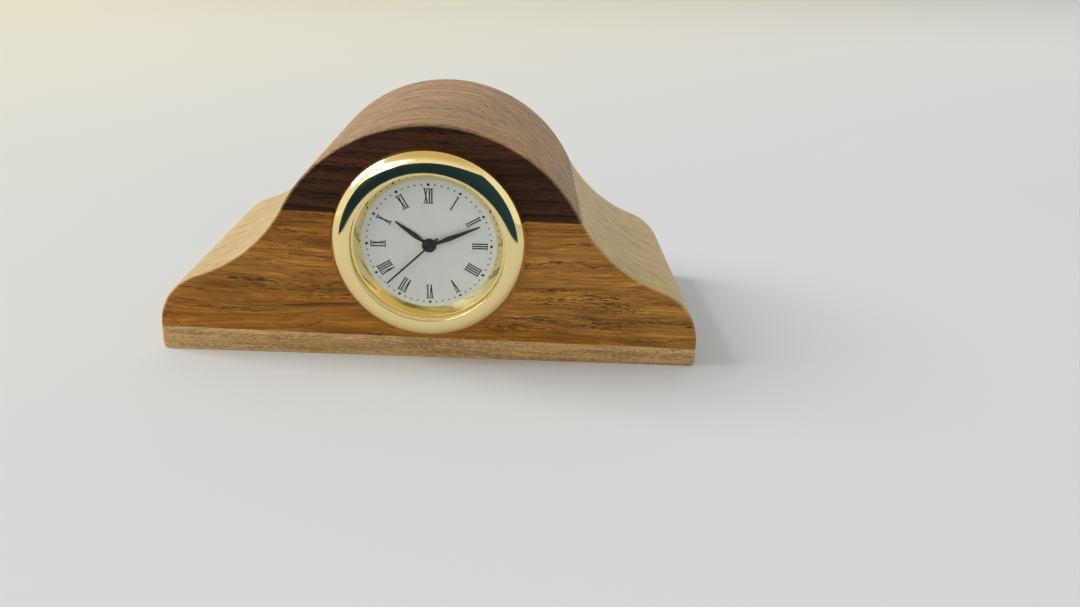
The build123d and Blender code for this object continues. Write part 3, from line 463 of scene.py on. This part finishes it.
def onOutline(travel, inset):
    # The point at a distance round the outline, moved inwards along its normal
    point, normal = readOutline(travel, outlinePoints), readOutline(travel, outlineNormals)
    return point[0] - inset * normal[0], point[1] - inset * normal[1]


# Each glue line as its height in the middle and its slope
glueLines = {
    line: ((bodyShape[line + "Left"] + bodyShape[line + "Right"]) / 2,
           (bodyShape[line + "Right"] - bodyShape[line + "Left"]) / bodyShape["width"])
    for line in ("base", "arch")
}


def seamTravel(line, side, inset):
    # How far round the outline an inset copy of it crosses a glue line, on the right or the left
    middle, slope = glueLines[line]
    travel = np.linspace(*seamSearch[side], seamSearch["steps"]) * outlineLength
    x, z = onOutline(travel, inset)
    above = z - middle - slope * x
    order = slice(None) if side == "right" else slice(None, None, -1)
    return float(np.interp(0, above[order], travel[order]))


def edgeProfile():
    # Inset and depth of each row as shares of the edge's round: the inner row of the flat strip, then
    # a quarter circle, whose inset is one less the sine of the turn and whose depth one less its cosine
    turn = np.linspace(0, math.pi / 2, bodyShape["edgeSteps"])
    return np.concatenate([[1], 1 - np.sin(turn)]), np.concatenate([[0], 1 - np.cos(turn)])


def wrapGrid(fromSeam, toSeam, columns):
    # Rows follow the edge profile and columns run along the outline from one glue line to the other;
    # the round shrinks from the edge's to the foot's as the outline turns to face down
    insetShares, depthShares = edgeProfile()
    share = np.linspace(0, 1, columns)
    strip = np.zeros(len(insetShares))
    strip[0] = bodyShape["flatStrip"]

    def row(insetShare, extra):
        start, end = (seamTravel(*ends, insetShare * bodyShape["edgeRound"] + extra)
                      for ends in (fromSeam, toSeam))
        further = end - start if end > start else end - start + outlineLength
        travel = start + further * share
        down = np.clip(-readOutline(travel, outlineNormals)[1], 0, 1)
        rounding = bodyShape["edgeRound"] + (bodyShape["footRound"] - bodyShape["edgeRound"]) * down
        return (*onOutline(travel, insetShare * rounding + extra), rounding)

    front, back = [], []
    for insetShare, depthShare, extra in zip(insetShares, depthShares, strip):
        x, z, rounding = row(insetShare, extra)
        front.append(np.stack([x, frontY + rounding * depthShare, z], -1))
        back.append(np.stack([x, backY - rounding * depthShare, z], -1))
    across = np.linspace(front[-1], back[-1], bodyShape["acrossSteps"])[1:-1]
    return np.concatenate([front, across, back[::-1]])


def boreArc(upper):
    # The part of the bore's circle above or below the upper glue line, from right to left, at both ends;
    # the line meets the circle where x squared and its height squared make the radius squared, which is
    # a quadratic in x with the terms a, b and c
    middle, slope = glueLines["arch"]
    radius, count = bodyShape["boreRadius"], bodyShape["boreSteps"]
    drop = middle + slope * dialX - dialZ
    a, b, c = 1 + slope ** 2, 2 * slope * drop, drop ** 2 - radius ** 2
    root = math.sqrt(b * b - 4 * a * c)
    ends = [(-b + root) / (2 * a), (-b - root) / (2 * a)]
    angles = [math.atan2(drop + slope * end, end) for end in ends]
    if not upper:
        angles[1] -= 2 * math.pi
    angle = np.linspace(angles[0], angles[1], count)
    return np.array([np.stack([dialX + radius * np.cos(angle), np.full(count, depth),
                               dialZ + radius * np.sin(angle)], -1) for depth in (frontY, boreBack)])


class Shell:
    # Gathers grids and flat many-sided faces into one closed mesh
    def __init__(self):
        self.points, self.faces, self.count = [], [], 0

    def grid(self, rows):
        height, width = rows.shape[:2]
        self.faces.extend(gridFaces(height, width, start=self.count).tolist())
        self.points.append(rows.reshape(-1, 3))
        self.count += height * width

    def flat(self, *runs):
        loop = np.concatenate(runs)
        self.faces.append(list(range(self.count, self.count + len(loop))))
        self.points.append(loop)
        self.count += len(loop)

    def bore(self, arc):
        # The bore's wall and its flat floor
        self.grid(arc)
        self.flat(arc[1])

    def piece(self, name, slot, node):
        addPiece(name, np.concatenate(self.points), self.faces, "wooden_body", slot, stands=[node])


def boreSides(arc):
    # The bore's two straight edges on a glue line, out at the front, down and back
    mouth, floor = arc
    return mouth[-1:], floor[-1:], floor[:1], mouth[:1]


def topArch():
    # One wrap over the top, closed by the front with its bite, the back, the glue face and the bore
    wrap = wrapGrid(("arch", "right"), ("arch", "left"), bodyShape["columns"])
    arc = boreArc(True)
    shell = Shell()
    shell.grid(wrap)
    shell.flat(wrap[0], arc[0][::-1])
    shell.flat(wrap[-1])
    shell.flat(wrap[:, 0], wrap[::-1, -1], *boreSides(arc))
    shell.bore(arc)
    shell.piece("walnutArch", "dark_wood", "top_arch")


def middleBlock():
    # A wrap on each side, closed by front and back, two glue faces and the bore
    right = wrapGrid(("base", "right"), ("arch", "right"), bodyShape["columns"] // 2)
    left = wrapGrid(("arch", "left"), ("base", "left"), bodyShape["columns"] // 2)
    arc = boreArc(False)
    shell = Shell()
    shell.grid(right)
    shell.grid(left)
    shell.flat(right[0], arc[0], left[0])
    shell.flat(right[-1], left[-1])
    shell.flat(right[:, -1], left[::-1, 0], *boreSides(arc))
    shell.flat(right[:, 0], left[::-1, -1])
    shell.bore(arc)
    shell.piece("honeyBlock", "honey_wood", "middle_block")


def baseBoard():
    # One wrap under the bottom, closed by front, back and glue face
    wrap = wrapGrid(("base", "left"), ("base", "right"), bodyShape["columns"])
    shell = Shell()
    shell.grid(wrap)
    shell.flat(wrap[0])
    shell.flat(wrap[-1])
    shell.flat(wrap[:, 0], wrap[::-1, -1])
    shell.piece("paleBase", "pale_wood", "base_board")


topArch()
middleBlock()
baseBoard()
print("wooden body made")


def turnedPiece(name, section, body, slot, around, stands=(), angle=sewing["smoothBelow"]):
    # A closed section of radius and depth, carried round the dial's axis: X and Z are the dial's centre
    # and the radius times cosine and sine of the turn, Y is the front and the depth
    section = np.asarray(section, float)
    turn = np.linspace(0, 2 * math.pi, around, endpoint=False)
    radius, depth = section[:, 0][None, :], section[:, 1][None, :]
    points = np.stack([dialX + radius * np.cos(turn)[:, None],
                       np.broadcast_to(frontY + depth, (around, len(section))),
                       dialZ + radius * np.sin(turn)[:, None]], -1)
    ring = np.concatenate([points, points[:1]])
    faces = gridFaces(around + 1, len(section), wrapColumns=True).tolist()
    addPiece(name, ring.reshape(-1, 3), faces, body, slot, stands, angle)


def bend(centre, radii, fromAngle, toAngle, count):
    # Points of an ellipse's arc, its angles in degrees from the radius towards the depth
    angle = np.radians(np.linspace(fromAngle, toAngle, count))
    return np.stack([centre[0] + radii[0] * np.cos(angle), centre[1] + radii[1] * np.sin(angle)], -1)


# Bezel: radii and heights before the front of the wood, and the steps of its curves
bezelShape = {
    "radius": 18.35, "height": 3.5, "rise": 0.4, "foot": 0.25, "crest": 14.75, "aperture": 14.24,
    "lipRound": 0.16, "lipBack": 3.05, "seat": 14.9, "seatFront": 0.95, "clip": 17.35, "clipFront": 0.55,
    "spigot": 16.75, "footSteps": 10, "domeSteps": 48, "lipSteps": 8, "around": 256, "smoothBelow": 40,
}


def bezelSection():
    # Foot, elliptical dome, flat crest, rounded lip, then the stepped seat behind
    shape = bezelShape
    height, rise, edge = shape["height"], shape["rise"], shape["lipRound"]
    foot = bend((shape["radius"] - shape["foot"], -rise), (shape["foot"], rise), 90, 0, shape["footSteps"])
    domeSize = (shape["radius"] - shape["crest"], height - rise)
    dome = bend((shape["crest"], -rise), domeSize, 0, -90, shape["domeSteps"])[1:]
    lip = bend((shape["aperture"] + edge, edge - height), (edge, edge), -90, -180, shape["lipSteps"])
    behind = [(shape["aperture"], -shape["lipBack"]), (shape["seat"], -shape["lipBack"]),
              (shape["seat"], -shape["seatFront"]), (shape["spigot"], -shape["seatFront"]),
              (shape["spigot"], -shape["clipFront"]), (shape["clip"], -shape["clipFront"]),
              (shape["clip"], 0)]
    return np.concatenate([foot, dome, lip, behind])


# Reflector: radii of the mirrored slope at its top and foot, and depths from the front of the wood
reflectorShape = {"top": 13.74, "foot": 12.61, "front": -2.08, "back": -0.25, "outer": 14.85, "step": -0.85,
                  "dialEdge": 16.0, "round": 0.14, "roundTo": -155, "roundSteps": 6, "around": 256}


def reflectorSection():
    # A ledge under the glass, a small round, and a polished slope down to the dial
    shape = reflectorShape
    small = shape["round"]
    corner = bend((shape["top"] + small, shape["front"] + small), (small, small), -90, shape["roundTo"],
                  shape["roundSteps"])
    behind = [(shape["foot"], shape["back"]), (shape["dialEdge"], shape["back"]),
              (shape["dialEdge"], shape["step"]), (shape["outer"], shape["step"])]
    return np.concatenate([[(shape["outer"], shape["front"])], corner, behind])


# Crystal: its radius, and depths from the front of the wood, negative in front of it
crystalShape = {"outer": 14.4, "front": -3.02, "back": -2.2, "bevel": 0.03, "around": 192}


def crystalSection():
    # A flat glass with a small bevel round each face
    outer, front, back, bevel = (crystalShape[key] for key in ("outer", "front", "back", "bevel"))
    return [(0, front), (outer - bevel, front), (outer, front + bevel), (outer, back - bevel),
            (outer - bevel, back), (0, back)]


turnedPiece("gildedBezel", bezelSection(), "insert", "gold_plate", bezelShape["around"], ["bezel"],
            bezelShape["smoothBelow"])
turnedPiece("gildedReflector", reflectorSection(), "insert", "gold_plate", reflectorShape["around"],
            ["reflector_ring"])
turnedPiece("flatCrystal", crystalSection(), "insert", "clear_glass", crystalShape["around"], ["crystal"])
print("bezel, reflector and crystal made")


# Dial print: numerals whose feet point to the centre, and a ring of dots, raised by the lift
printShape = {
    "inner": 8.05, "outer": 10.9, "stem": 0.25, "hair": 0.15, "bar": 0.135, "pitch": 0.445, "letter": 0.84,
    "inset": 0.7, "serif": 2.6, "overhang": 0.09, "front": -0.25, "lift": 0.02, "turn": -0.6,
    "dotRing": 11.6, "hourDot": 0.27, "minuteDot": 0.155, "dotCorners": 12, "smoothBelow": 20,
}
numerals = ("XII", "I", "II", "III", "IIII", "V", "VI", "VII", "VIII", "IX", "X", "XI")


def numeralStrokes(letters):
    # Four corners a stroke, across and up, with thin joined bars at the head and foot
    shape = printShape
    tall, bar, over = shape["outer"] - shape["inner"], shape["bar"], shape["overhang"]
    inset = shape["stem"] * shape["inset"]
    serif = shape["serif"] * inset
    widths = [shape["pitch"] if letter == "I" else shape["letter"] for letter in letters]
    left = -sum(widths) / 2
    strokes = []

    def stroke(foot, head, thick):
        strokes.append([(foot - thick / 2, 0), (foot + thick / 2, 0), (head + thick / 2, tall),
                        (head - thick / 2, tall)])

    def bars(fromX, toX, foot=True):
        if foot:
            strokes.append([(fromX, 0), (toX, 0), (toX, bar), (fromX, bar)])
        strokes.append([(fromX, tall - bar), (toX, tall - bar), (toX, tall), (fromX, tall)])

    for letter, width in zip(letters, widths):
        middle, right = left + width / 2, left + width
        if letter == "I":
            stroke(middle, middle, shape["stem"])
            bars(left - over / 2, right + over / 2)
        else:
            pointed = letter == "V"
            stroke(middle if pointed else right - inset, left + inset, shape["stem"])
            stroke(middle if pointed else left + inset, right - inset, shape["hair"])
            bars(left - over, left + serif, foot=not pointed)
            bars(right - serif, right + over, foot=not pointed)
        left = right
    return np.array(strokes)


def printedPrisms(corners, name):
    # Flat outlines (count, sides, across and up from the dial's centre) raised into thin closed prisms
    count, sides = corners.shape[:2]
    levels = []
    for depth in (printShape["front"], printShape["front"] - printShape["lift"]):
        levels.append(np.stack([dialX + corners[..., 0], np.full(corners.shape[:2], frontY + depth),
                                dialZ + corners[..., 1]], -1))
    points = np.stack(levels, 1).reshape(-1, 3)
    start = np.arange(count)[:, None] * 2 * sides
    ring = np.arange(sides)
    after = (ring + 1) % sides
    walls = np.stack([ring, after, after + sides, ring + sides], -1)
    faces = (start[:, :, None] + walls[None]).reshape(-1, 4).tolist()
    faces += (start + ring[::-1]).tolist() + (start + sides + ring).tolist()
    addPiece(name, points, faces, "insert", "hand_paint", angle=printShape["smoothBelow"])


def clockAxes(degrees):
    # Across and up on the dial for a hand or numeral that is turned clockwise from twelve
    clock = math.radians(degrees)
    return np.array([math.cos(clock), -math.sin(clock)]), np.array([math.sin(clock), math.cos(clock)])


def dialPrint():
    # A numeral each 30 degrees and a dot each 6, every fifth dot larger
    strokes = []
    for hour, letters in enumerate(numerals):
        local = numeralStrokes(letters)
        side, out = clockAxes(30 * hour + printShape["turn"])
        strokes.append(local[..., :1] * side + (local[..., 1:] + printShape["inner"]) * out)
    printedPrisms(np.concatenate(strokes), "dialNumerals")
    minute = np.arange(60)
    clock = np.radians(6 * minute + printShape["turn"])
    size = np.where(minute % 5 == 0, printShape["hourDot"], printShape["minuteDot"])
    turn = np.radians(np.arange(0, 360, 360 // printShape["dotCorners"]))
    centres = printShape["dotRing"] * np.stack([np.sin(clock), np.cos(clock)], -1)
    rim = np.stack([np.cos(turn), np.sin(turn)], -1)
    printedPrisms(centres[:, None] + size[:, None, None] * rim[None], "dialDots")


dialPrint()
print("dial printed")


# Hands: a blade whose half width follows a smooth curve along it, with eased edges, and a turned hub
hands = {
    "hourHandBlade": {
        "body": "hours", "stands": ["hour_hand"], "time": 305.8, "reach": (0.5, 7.6), "front": -0.65,
        "widths": ((0, 0.5), (0.16, 0.58), (0.36, 0.98), (0.7, 0.66), (1, 0.24)), "hub": 1.35, "bore": 0.6,
    },
    "minuteHandBlade": {
        "body": "minutes", "stands": ["minute_hand"], "time": 66.4, "reach": (0.4, 10.3), "front": -1.05,
        "widths": ((0, 0.5), (0.14, 0.56), (0.36, 0.97), (0.7, 0.6), (1, 0.22)), "hub": 1.15, "bore": 0.34,
    },
    "secondHandNeedle": {
        "body": "seconds", "stands": ["second_hand"], "time": 225.8, "reach": (-2.35, 11.0), "front": -1.325,
        "widths": ((0, 0.5), (0.13, 0.46), (0.18, 0.35), (1, 0.30)), "hub": 0.75, "bore": 0.1,
    },
}
# What the hands share: the section as shares of half width and thickness, and the hub's turned ring
handSection = {
    "thickness": 0.15, "across": (-1, -1, -0.8, 0, 0.8, 1, 1), "level": (0, 0.6, 1, 1, 1, 0.6, 0),
    "rows": 60, "smoothing": 7, "smoothBelow": 25, "hubRing": 0.66, "hubGroove": 0.04, "hubAround": 96,
}


def bladePoints(hand):
    # Rows run along the hand and columns round its section, a flat bar with eased front edges;
    # the half width is read off the knots and averaged with its neighbours
    reach = np.linspace(*hand["reach"], handSection["rows"])
    share = (reach - hand["reach"][0]) / (hand["reach"][1] - hand["reach"][0])
    knots = np.array(hand["widths"])
    halfWidth = np.interp(share, knots[:, 0], knots[:, 1]) / 2
    window = handSection["smoothing"]
    smooth = np.convolve(np.pad(halfWidth, window // 2, mode="edge"), np.ones(window) / window, mode="valid")
    smooth[0], smooth[-1] = halfWidth[0], halfWidth[-1]
    x = smooth[:, None] * np.array(handSection["across"])
    level = np.array(handSection["level"]) * handSection["thickness"]
    y = hand["front"] + handSection["thickness"] - np.broadcast_to(level, x.shape)
    side, out = clockAxes(hand["time"])
    along = np.broadcast_to(reach[:, None], x.shape)
    return np.stack([dialX + along * out[0] + x * side[0], frontY + y,
                     dialZ + along * out[1] + x * side[1]], -1)


def makeHand(name, hand):
    # The blade is its rows with both ends closed; the hub is a disc with a shallow groove round it
    rows = bladePoints(hand)
    height, width = rows.shape[:2]
    faces = gridFaces(height, width, wrapColumns=True).tolist()
    faces += [list(range(width)), list(range((height - 1) * width, height * width))]
    addPiece(name, rows.reshape(-1, 3), faces, hand["body"], "hand_paint", hand["stands"],
             handSection["smoothBelow"])
    front, back = hand["front"], hand["front"] + handSection["thickness"]
    hub, bore, small = hand["hub"], hand["bore"], handSection["hubGroove"]
    ring = hub * handSection["hubRing"]
    section = [(bore, back), (bore, front + small), (bore + small, front), (ring - small, front),
               (ring, front + small), (ring + small, front + small), (ring + 2 * small, front),
               (hub - small, front), (hub, front + small), (hub, back)]
    turnedPiece(name + "Hub", section, hand["body"], "hand_paint", handSection["hubAround"])


for handName, handShape in hands.items():
    makeHand(handName, handShape)
print("hands made")


# Studio floor: a sheet of paper whose tones change over spans given in metres from the clock; its paler far
# side is painted light
paper = {
    "size": 6.0, "near": (0.765, 0.775, 0.775), "far": (0.88, 0.87, 0.84), "paintedLightSpan": (0.12, 0.6),
    "warm": (0.79, 0.745, 0.58), "warmWay": (-0.8, 0.6, 0), "warmSpan": (-0.02, 0.62),
    "roughness": 0.9, "specular": 0.1, "tooth": 1.5, "toothDetail": 4.0, "bump": 0.1, "bumpDepth": 0.05,
}


def paperFloor():
    # A flat sheet, cool grey near the clock and painted paler far behind it, painted light that makes up for
    # the lamp's light falling off there, and warm cream away to the left
    half = paper["size"] / 2
    corners = [(-half, -half, 0), (half, -half, 0), (half, half, 0), (-half, half, 0)]
    mesh = bpy.data.meshes.new("paperFloor")
    mesh.from_pydata(corners, [], [(0, 1, 2, 3)])
    floor = linked("paperFloor", mesh)
    look = Look("studioPaper", Roughness=paper["roughness"], Specular_IOR_Level=paper["specular"])

    def towards(direction, span):
        way = look.vector("DOT_PRODUCT", look.node("TexCoord").outputs["Object"], direction)
        return look.grey(way.outputs["Value"], *span)

    tone = look.mix(towards((0, 1, 0), paper["paintedLightSpan"]), paper["near"], paper["far"])
    tone = look.mix(towards(paper["warmWay"], paper["warmSpan"]), tone, paper["warm"])
    tooth = look.noise(look.place((paper["tooth"],) * 3), paper["toothDetail"]).outputs[0]
    mesh.materials.append(look.finish(Base_Color=tone,
                                      Normal=look.bump(tooth, paper["bump"], paper["bumpDepth"])))


# Lamps: a soft window on the left that lights the clock, and a small panel for the gilt to mirror
lamps = {
    "windowPanel": {"place": (-2.45, 0.20, 1.75), "size": (1.5, 1.5), "power": 58.0,
                    "colour": (1, 0.985, 0.96), "onlyMirrored": False},
    "glintPanel": {"place": (-0.44, -0.47, 0.47), "size": (0.40, 0.36), "power": 2.6,
                   "colour": (1, 1, 1), "onlyMirrored": True},
}
lampTarget = (0, 0, 0.02)


def softPanel(name, lamp):
    # A rectangular lamp at its place, turned to face the clock
    panel = bpy.data.lights.new(name, "AREA")
    panel.shape = "RECTANGLE"
    panel.size, panel.size_y = lamp["size"]
    panel.energy = lamp["power"]
    panel.color = lamp["colour"]
    stand = linked(name, panel)
    stand.location = lamp["place"]
    aim = Vector(np.array(lampTarget) - np.array(lamp["place"]))
    stand.rotation_euler = aim.to_track_quat("-Z", "Y").to_euler()
    if lamp["onlyMirrored"]:
        stand.visible_diffuse = stand.visible_transmission = False


# Flag: how far before the clock it stands, its height, how much higher its right end is, and its half turn
flagShape = {"distance": 0.115, "height": 0.110, "lean": 0.034, "spread": 58, "columns": 40,
             "colour": (0.010, 0.042, 0.085), "roughness": 0.9, "specular": 0.2}


def darkFlag():
    # A curved screen that only mirrors see: an arc round the front, its rim rising with the sine of the turn
    shape = flagShape
    turn = np.radians(np.linspace(-shape["spread"], shape["spread"], shape["columns"]))
    x, y = shape["distance"] * np.sin(turn), frontY * mm - shape["distance"] * np.cos(turn)
    rim = shape["height"] + shape["lean"] * np.sin(turn)
    rows = [np.stack([x, y, height], -1) for height in (0 * rim, rim)]
    mesh = bpy.data.meshes.new("darkFlag")
    mesh.from_pydata(np.concatenate(rows).tolist(), [], gridFaces(2, shape["columns"]).tolist())
    mesh.materials.append(Look("flagFelt", Base_Color=(*shape["colour"], 1), Roughness=shape["roughness"],
                               Specular_IOR_Level=shape["specular"]).material)
    flag = linked("darkFlag", mesh)
    flag.visible_camera = flag.visible_diffuse = flag.visible_shadow = flag.visible_transmission = False


# Sky: the ceiling spans heights of the unit direction that a mirror looks in
skyShape = {"colour": (0.88, 0.895, 0.895), "strength": 0.62, "ceiling": (0.60, 0.50, 0.30),
            "ceilingFrom": 0.62, "ceilingTo": 0.97}


def paleSky():
    # An even pale surround that the camera, mirrors and glass see brighter than it lights;
    # what mirrors see turns to a warm ceiling overhead
    world = bpy.data.worlds.new("paleSky")
    bpy.context.scene.world = world
    world.use_nodes = True
    tree = world.node_tree
    sky = tree.nodes["Background"]

    def step(operation, first, second):
        # One reckoning on two sockets
        made = tree.nodes.new("ShaderNodeMath")
        made.operation = operation
        tree.links.new(first, made.inputs[0])
        tree.links.new(second, made.inputs[1])
        return made.outputs[0]

    path = tree.nodes.new("ShaderNodeLightPath").outputs
    upward = tree.nodes.new("ShaderNodeSeparateXYZ")
    tree.links.new(tree.nodes.new("ShaderNodeTexCoord").outputs["Generated"], upward.inputs[0])
    overhead = tree.nodes.new("ShaderNodeMapRange")
    overhead.interpolation_type = "SMOOTHSTEP"
    overhead.inputs["From Min"].default_value = skyShape["ceilingFrom"]
    overhead.inputs["From Max"].default_value = skyShape["ceilingTo"]
    tree.links.new(upward.outputs["Z"], overhead.inputs["Value"])
    blend = tree.nodes.new("ShaderNodeMix")
    blend.data_type = "RGBA"
    blend.inputs[6].default_value = (*skyShape["colour"], 1)
    blend.inputs[7].default_value = (*skyShape["ceiling"], 1)
    tree.links.new(step("MULTIPLY", overhead.outputs["Result"], path["Is Glossy Ray"]), blend.inputs[0])
    tree.links.new(blend.outputs[2], sky.inputs["Color"])
    direct = step("MAXIMUM", path["Is Camera Ray"], path["Is Glossy Ray"])
    seen = step("MAXIMUM", direct, path["Is Transmission Ray"])
    strength = tree.nodes.new("ShaderNodeMapRange")
    strength.inputs["To Min"].default_value = skyShape["strength"]
    tree.links.new(seen, strength.inputs["Value"])
    tree.links.new(strength.outputs["Result"], sky.inputs["Strength"])


paperFloor()
for lampName, lamp in lamps.items():
    softPanel(lampName, lamp)
darkFlag()
paleSky()


# Camera at the photograph's viewpoint: place in millimetres from the foot of the front, turns in degrees,
# focal length and picture width in pixels of the photograph
view = {"place": (14.5509, -142.7402, 77.7098), "yaw": -2.5104, "pitch": -24.5035, "roll": -3.1701,
        "focal": 811, "width": 1080, "sensor": 36, "nearest": 0.01}


def photographCamera():
    # Turned by roll about Y, pitch about X and yaw about Z, then its axes set as right, up and back
    lens = bpy.data.cameras.new("deskView")
    lens.sensor_width = view["sensor"]
    lens.sensor_fit = "HORIZONTAL"
    lens.lens = view["focal"] * lens.sensor_width / view["width"]
    lens.clip_start = view["nearest"]
    camera = linked("deskView", lens)
    yaw, pitch, roll = (math.radians(view[key]) for key in ("yaw", "pitch", "roll"))
    turned = Matrix.Rotation(yaw, 3, "Z") @ Matrix.Rotation(pitch, 3, "X") @ Matrix.Rotation(roll, 3, "Y")
    right, forward, up = turned.col
    basis = Matrix((right, up, -forward)).transposed().to_4x4()
    place = Vector(view["place"]) + Vector((0, frontY, 0))
    camera.matrix_world = Matrix.Translation(place * mm) @ basis
    bpy.context.scene.camera = camera


photographCamera()
bpy.context.scene.view_settings.view_transform = "Standard"
print("studio and camera set")
